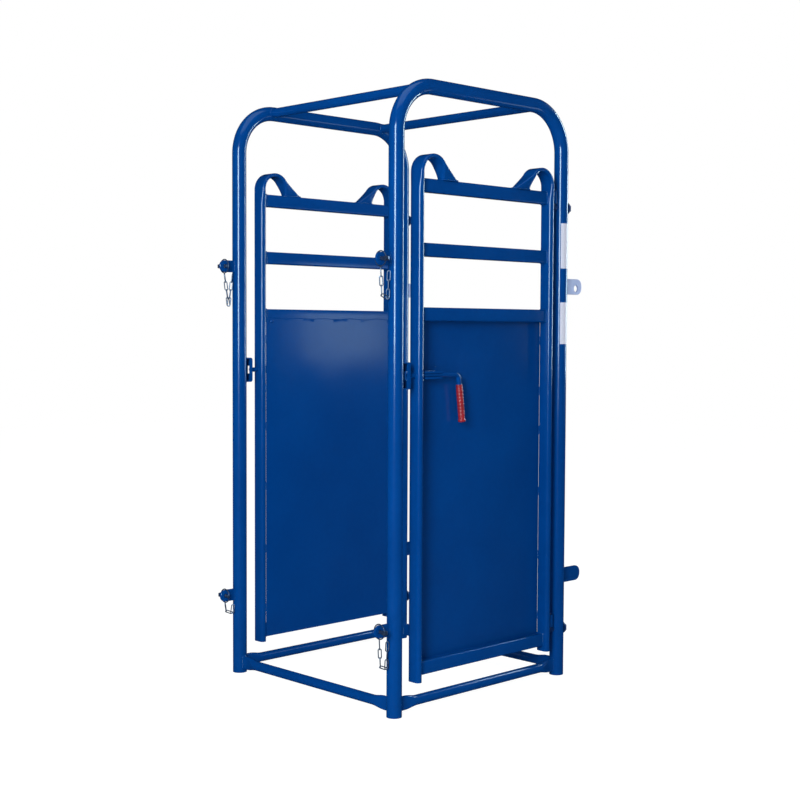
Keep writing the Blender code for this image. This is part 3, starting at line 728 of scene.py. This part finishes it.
# %% [markdown]
# A hinge bolt is round bar, bent up through a right angle, and threaded where it comes out
# behind the leg. The thread is the bar's own radius, which rises and falls with the pitch.


# %% Hinge bolts
hinge_radius = 0.0095
hinge_bend = 0.0125
thread_deep = 0.0006
thread_pitch = 0.002


def hinge_bolt(side, height):
    """The pin, the bend and the shank as one line, threaded behind the leg."""
    start = height + eye_rise + eye_tall + 0.004
    bend_points = arc((pivot_y + hinge_bend, height + hinge_bend), hinge_bend, 180, 270, 14)
    end_y = rear + leg + gap + washer_thick + nut_tall + 0.003
    line = np.vstack([[[pivot_y, start - 0.0015]], [[pivot_y, height + 0.03]], bend_points,
                      [[rear, height]], [[end_y - 0.0015, height]]])
    line = np.vstack([[[pivot_y, start]], even(line, 0.0005), [[end_y, height]]])
    radius = np.full(len(line), hinge_radius)
    thread = line[:, 0] > rear + leg
    turns = line[thread, 0] / thread_pitch
    radius[thread] -= thread_deep * (0.5 + 0.5 * np.sin(2 * np.pi * turns))
    radius[[0, -1]] = hinge_radius - 0.0015
    return shell(carry(line, circles(radius, 20), side * hoop * X, Y, Z, X))


for label_side, side in sides.items():
    for level, height in hinge_heights.items():
        piece("hinge_bar_%s_%s" % (level, label_side), [hinge_bolt(side, height)], dark_steel,
              "frame", ["hinge_bolt_%s_%s" % (level, label_side)])
print("hinge bolts bent")

# %% [markdown]
# The keepers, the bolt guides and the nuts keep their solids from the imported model: they are
# folded or stamped shapes with true faces. A weld of their loose triangles and a fine bevel
# gives their edges the soft line that paint leaves.

# %% Keepers, guides and nuts
for label_side in sides:
    for name, look in (("keeper_", tube_blue), ("bolt_guide_", tube_blue),
                       ("hinge_nut_lower_", dark_steel), ("hinge_nut_upper_", dark_steel)):
        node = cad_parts[name + label_side]
        node.data.materials.clear()
        node.data.materials.append(look["material"])
        weld = node.modifiers.new("weld", "WELD")
        weld.merge_threshold = 0.00002
        soft = node.modifiers.new("bevel", "BEVEL")
        soft.width = 0.0006
        soft.segments = 2
        soft.limit_method = "ANGLE"
        soft.angle_limit = np.radians(35)
print("stamped parts softened")

# %% [markdown]
# The sliding bolt is 16 mm bar: straight through the stile and the guide, then bent down to
# the handle. Its grip is a dipped sleeve with finger ribs, thicker at the lower end.

# %% Sliding bolts and grips
tilt = np.radians(7.0)
grip_long = 0.127
bolt_radius = 0.008
bolt_bend = 0.016


def bolt_line(step):
    """From the tip along Y, round the bend and down the tilted handle, in Y and Z."""
    tip = front + 0.050
    start = front + 0.2893 - bolt_bend
    curve = arc((start, bolt_z - bolt_bend), bolt_bend, 90, 7, 14)
    drop = curve[-1, 1] - (bolt_z - 0.0345 - grip_long * np.cos(tilt)) - 0.003
    low_end = curve[-1] + [drop * np.tan(tilt), -drop]
    return even(np.vstack([[[tip, bolt_z]], curve, [low_end]]), step)


def grip_rings(side):
    """Rings of the sleeve, from its open upper end to its round lower end."""
    line = bolt_line(0.002)
    end = line[-1]
    up = np.array([-np.sin(tilt), np.cos(tilt)])
    h = np.linspace(grip_long - 0.003, -0.003, 240)
    ribs = 0.0009 * (0.5 + 0.5 * np.cos(2 * np.pi * (h - 0.010) / 0.0114)) ** 0.6
    ribs *= smooth((h - 0.010) / 0.006) * smooth((grip_long - 0.012 - h) / 0.006)
    radius = 0.0109 + ribs + 0.0026 * smooth((0.010 - h) / 0.007)
    radius *= np.sqrt(np.clip(1 - ((0.003 - h) / 0.0062).clip(0, 1) ** 4, 0.05, 1))
    radius[h > grip_long - 0.006] -= 0.0012 * smooth((h[h > grip_long - 0.006]
                                                      - grip_long + 0.006) / 0.003)
    spots = end + h[:, None] * up
    return carry(spots, circles(radius, 32), side * bolt_x * X, Y, Z, X)


for label_side, side in sides.items():
    line = bolt_line(0.004)
    line = np.vstack([line[:1], line[:1] + [[0.0012, 0]], line[1:]])
    radius = np.full(len(line), bolt_radius)
    radius[0] = bolt_radius - 0.0012
    bar = carry(line, circles(radius, 28), side * bolt_x * X, Y, Z, X)
    piece("bolt_bar_" + label_side, [shell(bar)], tube_blue, "bolt_" + label_side,
          ["slide_bolt_" + label_side])
    piece("grip_sleeve_" + label_side, [shell(grip_rings(side))], red_vinyl,
          "bolt_" + label_side, ["grip_" + label_side])
print("bolts and grips")

# %% [markdown]
# A snap-ring pin is a short bar with a square head. The wire ring turns in the head and snaps
# over the pin's tip. The ring is round wire carried round most of a circle, with both ends
# turned into the head.


# %% Pins and rings
def pin_shells(side, height):
    """The bar with a rounded tip, and the head as a rounded block."""
    tip = -0.0205
    u = np.array([tip, tip + 0.0008, tip + 0.002, 0.0, 0.0165])
    radius = np.array([0.0032, 0.0048, 0.0055, 0.0055, 0.0055])
    line = np.stack([u, np.zeros(5)], -1)
    origin = np.array([side * hoop, lug_hole_y, height])
    bar = carry(line, circles(radius, 28), origin, side * X, Z, Y)
    u = np.array([0.016, 0.0168, 0.0312, 0.032])
    size = np.array([0.0061, 0.007, 0.007, 0.0061])
    loops = [rounded(s, s, 0.0018, 3) for s in size]
    head = carry(np.stack([u, np.zeros(4)], -1), loops, origin, side * X, Z, Y)
    return [shell(bar), shell(head)]


def ring_shell(side, height):
    """Round wire on most of a circle, its two ends turned into the head."""
    turn = arc((0.0, 0.0), ring_radius, 26, 334, 80)
    line = np.vstack([[[ring_radius, 0.0025], [ring_radius, 0.0075]], turn,
                      [[ring_radius, -0.0075], [ring_radius, -0.0025]]])
    origin = np.array([side * hoop, lug_hole_y, height])
    line = even(line, 0.0016)
    return shell(carry(line, circle(ring_wire, 16), origin, side * X, Z, Y))


for label_side, side in sides.items():
    for level, height in lug_heights.items():
        where = "%s_%s" % (level, label_side)
        piece("pin_bar_" + where, pin_shells(side, height), pin_steel, "pin_" + where,
              ["snap_pin_" + where])
        piece("ring_wire_" + where, [ring_shell(side, height)], pin_steel, "ring_" + where,
              ["snap_ring_" + where])
print("pins and rings")

# %% [markdown]
# The chain that keeps each pin is welded link chain. A link is wire round a flat oval, and
# each one is turned a quarter from its neighbour. The links stand on a line of joints that
# hangs from the ring and rises to the leg.


# %% Chains
link_long = 0.035
link_wide = 0.0135
link_pitch = 0.0286


def link_shell(first, last, turned):
    """One link between two joints: wire carried round an oval in its own plane."""
    along = last - first
    along /= np.linalg.norm(along)
    across = X * np.cos(turned) + np.cross(along, X) * np.sin(turned)
    across -= along * (across @ along)
    across /= np.linalg.norm(across)
    middle = (first + last) / 2
    path = oval(link_long / 2 - link_wire, link_wide / 2 - link_wire, 40)
    path = np.vstack([path, path[:1]])
    normal = np.cross(along, across)
    way = np.gradient(np.vstack([path[-2:-1], path, path[1:2]]), axis=0)[1:-1]
    way /= np.linalg.norm(way, axis=1)[:, None]
    side_way = np.stack([-way[:, 1], way[:, 0]], -1)
    loop = circle(link_wire, 10)
    spot = path[:, None, :] + loop[None, :, 0:1] * side_way[:, None, :]
    rings = (middle + spot[..., 0:1] * along + spot[..., 1:2] * across
             + np.broadcast_to(loop[None, :, 1:2], spot.shape[:2] + (1,)) * normal)
    return shell(rings[:-1], wrap=True)


def chain_joints(side, height, drops):
    """Joints down from the ring, across, and up to the leg."""
    pitch = link_pitch
    down, level, rise = drops
    x = side * hoop
    anchor = front - leg - gap - 0.0053
    joints = [np.array([lug_hole_y, height - ring_radius - ring_wire - gap - link_wire])]
    lean = max(anchor - lug_hole_y - level * pitch * 0.92, 0.0) / 2
    for k in range(down):
        step = lean / down
        joints.append(joints[-1] + [step, -np.sqrt(pitch**2 - step**2)])
    for k in range(level):
        joints.append(joints[-1] + [pitch * 0.92, -pitch * 0.39 * (1 - 2 * k)])
    for k in range(rise):
        step = (anchor - joints[-1][0]) / (rise - k)
        joints.append(joints[-1] + [step, np.sqrt(max(pitch**2 - step**2, 0.0))])
    return [np.array([x, y, z]) for y, z in joints]


chains = {"lower_right": (3, 1, 3), "lower_left": (1, 1, 1),
          "upper_right": (3, 1, 3), "upper_left": (4, 0, 4)}
for where, drops in chains.items():
    level, label_side = where.split("_")
    joints = chain_joints(sides[label_side], lug_heights[level], drops)
    shells = [link_shell(a, b, np.radians(45 + 90 * (k % 2)))
              for k, (a, b) in enumerate(zip(joints, joints[1:]))]
    piece("chain_links_" + where, shells, chain_zinc, "frame", ["chain_" + where])
print("four chains")

# %% [markdown]
# Welds hold it all together, and the photograph shows them as beads with a small bright
# ripple. A bead is a round bar laid along the joint, whose radius swells with every ripple of
# the torch, half sunk in both pieces.


# %% The weld bead
ripple = 0.0042
bead_step = 0.0011


def bead(line, radius, closed=False):
    """Rings of a bead along points in space.

    The frame at each point is built from the direction and a fixed helper axis. The radius
    rises and falls with every ripple, and a little with a second, longer wave.
    """
    line = np.asarray(line, dtype=float)
    if closed:
        line = np.vstack([line, line[:1]])
    run = even(line, bead_step)
    if closed:
        run = run[:-1]
        ahead = np.roll(run, -1, 0) - np.roll(run, 1, 0)
    else:
        ahead = np.gradient(run, axis=0)
    ahead /= np.linalg.norm(ahead, axis=1)[:, None]
    helper = np.array([0.31, 0.57, 0.76])
    first = np.cross(ahead, helper)
    first /= np.linalg.norm(first, axis=1)[:, None]
    second = np.cross(ahead, first)
    s = np.arange(len(run)) * bead_step
    swell = radius * (1 + 0.16 * np.sin(2 * np.pi * s / ripple) + 0.08 * np.sin(s * 391.0))
    if not closed:
        swell[[0, -1]] *= 0.55
    loop = circle(1.0, 12)
    rings = (run[:, None, :] + (loop[None, :, 0:1] * first[:, None, :]
                                + loop[None, :, 1:2] * second[:, None, :])
             * swell[:, None, None])
    return shell(rings, wrap=closed)


def saddle(side, y):
    """The line where a top rail meets a hoop: x drops back by the hoop's own curve."""
    t = 2 * np.pi * np.arange(60) / 60
    dz = rail * np.sin(t)
    x = side * (hoop - np.sqrt((leg - 0.0003) ** 2 - dz**2))
    return np.stack([x, y + rail * np.cos(t), top + dz], -1)


def crimp_seam(leg_x, leg_y, way):
    """The tall oval where a crimped end meets a leg, along way."""
    way = np.array(way, dtype=float)
    across = np.array([-way[1], way[0], 0.0])
    loop = oval(*crimp_half, 60)
    forward = np.sqrt(leg**2 - loop[:, 0] ** 2)
    return (np.array([leg_x, leg_y, floor_rail_z]) + forward[:, None] * way
            + loop[:, 0:1] * across + loop[:, 1:2] * Z)


frame_beads = []
for side in (-1, 1):
    for y in top_rail_y.values():
        frame_beads.append(bead(saddle(side, y), 0.0028, closed=True))
    for y, to in ((front, 1), (rear, -1)):
        frame_beads.append(bead(crimp_seam(side * hoop, y, (-side, 0, 0)), 0.003, closed=True))
        frame_beads.append(bead(crimp_seam(side * hoop, y, (0, to, 0)), 0.003, closed=True))
print("frame seams:", len(frame_beads))

# %% [markdown]
# Plates are welded down both faces where they meet a leg, and the keepers along their top and
# bottom edges. On the gates, each rail is welded round its end, the arches' feet are welded to
# the top rail, the bolt guide has a bead above and below, and the sheet has short stitches.
# The upper edge of the sheet is a wavy line, and a few drops of spatter lie by the bolt guide
# and in the sheet's upper corner.


# %% Beads on the plates and the gates
def plate_seams(side, y, to, height, depth):
    """Two upright lines, one on each face of a plate, where it meets a leg."""
    reach = np.sqrt(leg**2 - plate_half**2)
    z = np.linspace(height - depth / 2, height + depth / 2, 12)
    seams = []
    for w in (-plate_half, plate_half):
        seams.append(np.stack([np.full(12, side * hoop + w), np.full(12, y + to * reach), z], -1))
    return seams


for side in (-1, 1):
    for height in lug_heights.values():
        for seam in plate_seams(side, front, -1, height, 2 * lug_half):
            frame_beads.append(bead(seam, 0.0026))
    for height, depth in tabs.values():
        for seam in plate_seams(side, rear, 1, height, depth - 0.002):
            frame_beads.append(bead(seam, 0.0028))
    for z in (bolt_z - keeper_half, bolt_z + keeper_half):
        x = np.linspace(-0.0155, 0.0155, 12) + side * 0.003
        seam = np.stack([side * hoop + x, front + np.sqrt(leg**2 - x**2), np.full(12, z)], -1)
        frame_beads.append(bead(seam, 0.0025))
piece("frame_welds", frame_beads, tube_blue, "frame", sharp=60)


def rail_seam(side, y, height):
    """Round the end of a rectangular rail, where it meets the stile's flat."""
    loop = rounded(gate_rail_deep / 2, gate_rail_tall / 2, 0.005, 3)
    centre = side * (hoop + gate_rail_face - gate_rail_deep / 2)
    return np.stack([centre + loop[:, 0], np.full(len(loop), y), height + loop[:, 1]], -1)


def spatter(centre, radius):
    """A drop of weld metal: a small ball half sunk in the sheet."""
    t = np.linspace(0.2, np.pi - 0.2, 9)[:, None]
    a = 2 * np.pi * np.arange(12)[None, :] / 12
    ball = np.stack([np.cos(t) + 0 * a, np.sin(t) * np.cos(a), np.sin(t) * np.sin(a)], -1)
    return shell(np.asarray(centre) + radius * ball)


def hem(side):
    """The upper edge of a sheet, a smooth round line that wanders between its welds."""
    across = np.linspace(0.02, 0.98, 60)
    y = latch_y + sheet_inset + across * (hinge_y - latch_y - 2 * sheet_inset)
    z = rail_heights["panel_top_rail"] - gate_rail_tall / 2 + sheet_lap + sheet_edge(across)
    x = side * (hoop + gate_rail_face - gate_rail_deep - 0.0013)
    line = np.stack([y, z], -1)
    return shell(carry(line, circle(0.0015, 12), x * X, Y, Z, X))


def foot_seam(side, y, inward):
    """The oval where an arch lands on the top rail."""
    loop = oval(foot_wide, foot_long, 48)
    return np.stack([side * (hoop - foot_shift) + loop[:, 0],
                     y + inward * (foot_inset + loop[:, 1]), np.full(48, rail_top + 0.0006)], -1)


stitch_heights = (0.21, 0.43, 0.66, 0.88, 1.02, 1.20)
stitch_long = 0.030
for label_side, side in sides.items():
    beads = []
    for height in rail_heights.values():
        for y in (latch_y + half_stile, hinge_y - half_stile):
            beads.append(bead(rail_seam(side, y, height), 0.0026, closed=True))
    for y, inward in ((latch_y, 1), (hinge_y, -1)):
        beads.append(bead(foot_seam(side, y, inward), 0.0026, closed=True))
    face = side * (hoop + gate_rail_face - gate_rail_deep)
    for z in (bolt_z - guide_half, bolt_z + guide_half):
        y = np.linspace(front + 0.120, front + 0.200, 8)
        beads.append(bead(np.stack([np.full(8, face), y, np.full(8, z)], -1), 0.0022))
    for y in (latch_y + 0.0085, hinge_y - 0.0085):
        for z in stitch_heights:
            line = np.stack([np.full(6, face - side * 0.0008), np.full(6, y),
                             np.linspace(z, z + stitch_long, 6)], -1)
            beads.append(bead(line, 0.0026))
    for height in hinge_heights.values():
        for w in (-0.0065, 0.0065):
            z = np.linspace(height + 0.014, height + 0.056, 8)
            y = hinge_y + half_stile
            line = np.stack([np.full(8, side * hoop + w), np.full(8, y + 0.0005), z], -1)
            beads.append(bead(line, 0.0025))
    beads.append(hem(side))
    for inset, z, size in ((0.157, 1.131, 0.0018), (0.180, 1.118, 0.0018), (0.204, 1.131, 0.0022)):
        beads.append(spatter((face, front + inset, z), size))
    beads.append(spatter((face - side * 0.003, latch_y + 0.033, 1.281), 0.0055))
    piece("gate_welds_" + label_side, beads, tube_blue, "gate_" + label_side, sharp=60)
print("welds laid")

# %% [markdown]
# Two blank reflective strips are stuck round the outer side of the right rear leg. Each is a
# thin patch of the leg's own cylinder, a few tenths of a millimetre proud of the paint.


# %% Blank strips
def strip(low_z, high_z):
    """A patch of a cylinder round the outer side of the right rear leg."""
    t = np.radians(np.linspace(-48, 50, 20))
    z = np.linspace(low_z, high_z, 16)
    rings = []
    for spot in z:
        loops = []
        for radius, order in ((leg + 0.0003, t), (leg - 0.0004, t[::-1])):
            loops.append(np.stack([hoop + radius * np.cos(order), rear + radius * np.sin(order),
                                   np.full(20, spot)], -1))
        rings.append(np.vstack(loops))
    return shell(rings)


piece("leg_strips", [strip(1.4735, 1.634), strip(1.203, 1.352)],
      label_white, "frame", sharp=30)
print("strips stuck on")

# %% [markdown]
# The stage is a white studio, but gloss paint shows whatever stands round it, and the cage looks
# deep blue, so it stands before dark cloth: the paint sees nearly nothing but the strip lights
# and a bright screen far behind the cage. The eye itself sees plain white all round. The strips
# hang high, so an upright tube mirrors them in its upper half and goes plain blue further down.
# A small lamp behind the right gate is mirrored by the left sheet alone, as a soft sheen.

# %% The stage
floor_mesh = bpy.data.meshes.new("floor")
floor_mesh.from_pydata([(-12, -12, -0.0005), (12, -12, -0.0005), (12, 12, -0.0005),
                        (-12, 12, -0.0005)], [], [(0, 1, 2, 3)])
floor = bpy.data.objects.new("floor", floor_mesh)
bpy.context.scene.collection.objects.link(floor)
floor.visible_glossy = False
ground = Finish("floor_white")
ground.done("blue_paint", Base_Color=(0.80, 0.80, 0.80, 1.0), Roughness=0.9)
light_path = ground.tree.nodes.new("ShaderNodeLightPath")
seen = Wire(ground.tree, light_path.outputs["Is Camera Ray"])
white = ground.tree.nodes.new("ShaderNodeEmission")
white.inputs["Strength"].default_value = 1.2
blend = ground.tree.nodes.new("ShaderNodeMixShader")
ground.put(blend.inputs[0], seen * 0.8)
ground.tree.links.new(ground.shader.outputs[0], blend.inputs[1])
ground.tree.links.new(white.outputs[0], blend.inputs[2])
ground.tree.links.new(blend.outputs[0], ground.tree.nodes["Material Output"].inputs["Surface"])
floor_mesh.materials.append(ground.material)

world = bpy.data.worlds.new("studio")
bpy.context.scene.world = world
world.use_nodes = True
sky = world.node_tree
sky.nodes.clear()
direction = Wire(sky, sky.nodes.new("ShaderNodeTexCoord").outputs["Generated"])
dot = sky.nodes.new("ShaderNodeVectorMath")
dot.operation = "DOT_PRODUCT"
sky.links.new(direction.socket, dot.inputs[0])
dot.inputs[1].default_value = (0.05, 0.998, 0.0)
behind = Wire(sky, dot.outputs["Value"])
rays = sky.nodes.new("ShaderNodeLightPath")
camera_ray = Wire(sky, rays.outputs["Is Camera Ray"])
glossy_ray = Wire(sky, rays.outputs["Is Glossy Ray"])
parts = sky.nodes.new("ShaderNodeSeparateXYZ")
sky.links.new(direction.socket, parts.inputs[0])
upper = ((Wire(sky, parts.outputs["Z"]) + 0.065) * 20.0).clamped()
screen = ((behind - 0.84) * 9.0).clamped() * upper * 0.7 + 0.008
blend_sky = sky.nodes.new("ShaderNodeCombineColor")
for slot, tint in zip(blend_sky.inputs, (0.62, 0.9, 1.0)):
    around = glossy_ray * screen * tint + (1 - glossy_ray) * 0.27
    level = camera_ray + (1 - camera_ray) * around
    sky.links.new(level.socket, slot)
shine = sky.nodes.new("ShaderNodeBackground")
sky.links.new(blend_sky.outputs["Color"], shine.inputs["Color"])
out = sky.nodes.new("ShaderNodeOutputWorld")
sky.links.new(shine.outputs[0], out.inputs["Surface"])


def soft_box(name, place, aim, wide, tall, power):
    """A rectangular lamp turned to face a point."""
    data = bpy.data.lights.new(name, "AREA")
    data.shape = "RECTANGLE"
    data.size = wide
    data.size_y = tall
    data.energy = power
    data.color = (0.68, 0.93, 1.0)
    lamp = bpy.data.objects.new(name, data)
    bpy.context.scene.collection.objects.link(lamp)
    lamp.location = place
    way = np.array(aim, dtype=float) - np.array(place, dtype=float)
    turn = np.arctan2(way[1], way[0])
    pitch = np.arctan2(way[2], np.hypot(way[0], way[1]))
    lamp.rotation_euler = (np.pi / 2 + pitch, 0.0, turn - np.pi / 2)


soft_box("key_strip", (2.6, -4.3, 2.15), (0, 0, 1.3), 1.2, 2.2, 235)
soft_box("back_strip", (0.85, 3.15, 2.1), (-0.4, -0.4, 2.1), 0.3, 2.2, 60)
soft_box("sheet_sheen", (0.85, 1.175, 1.27), (-1.0, 1.175, 1.27), 0.6, 0.34, 1.5)
soft_box("top_fill", (0.6, -0.8, 4.2), (0, 0, 1.0), 2.5, 2.5, 24)
print("stage lit")
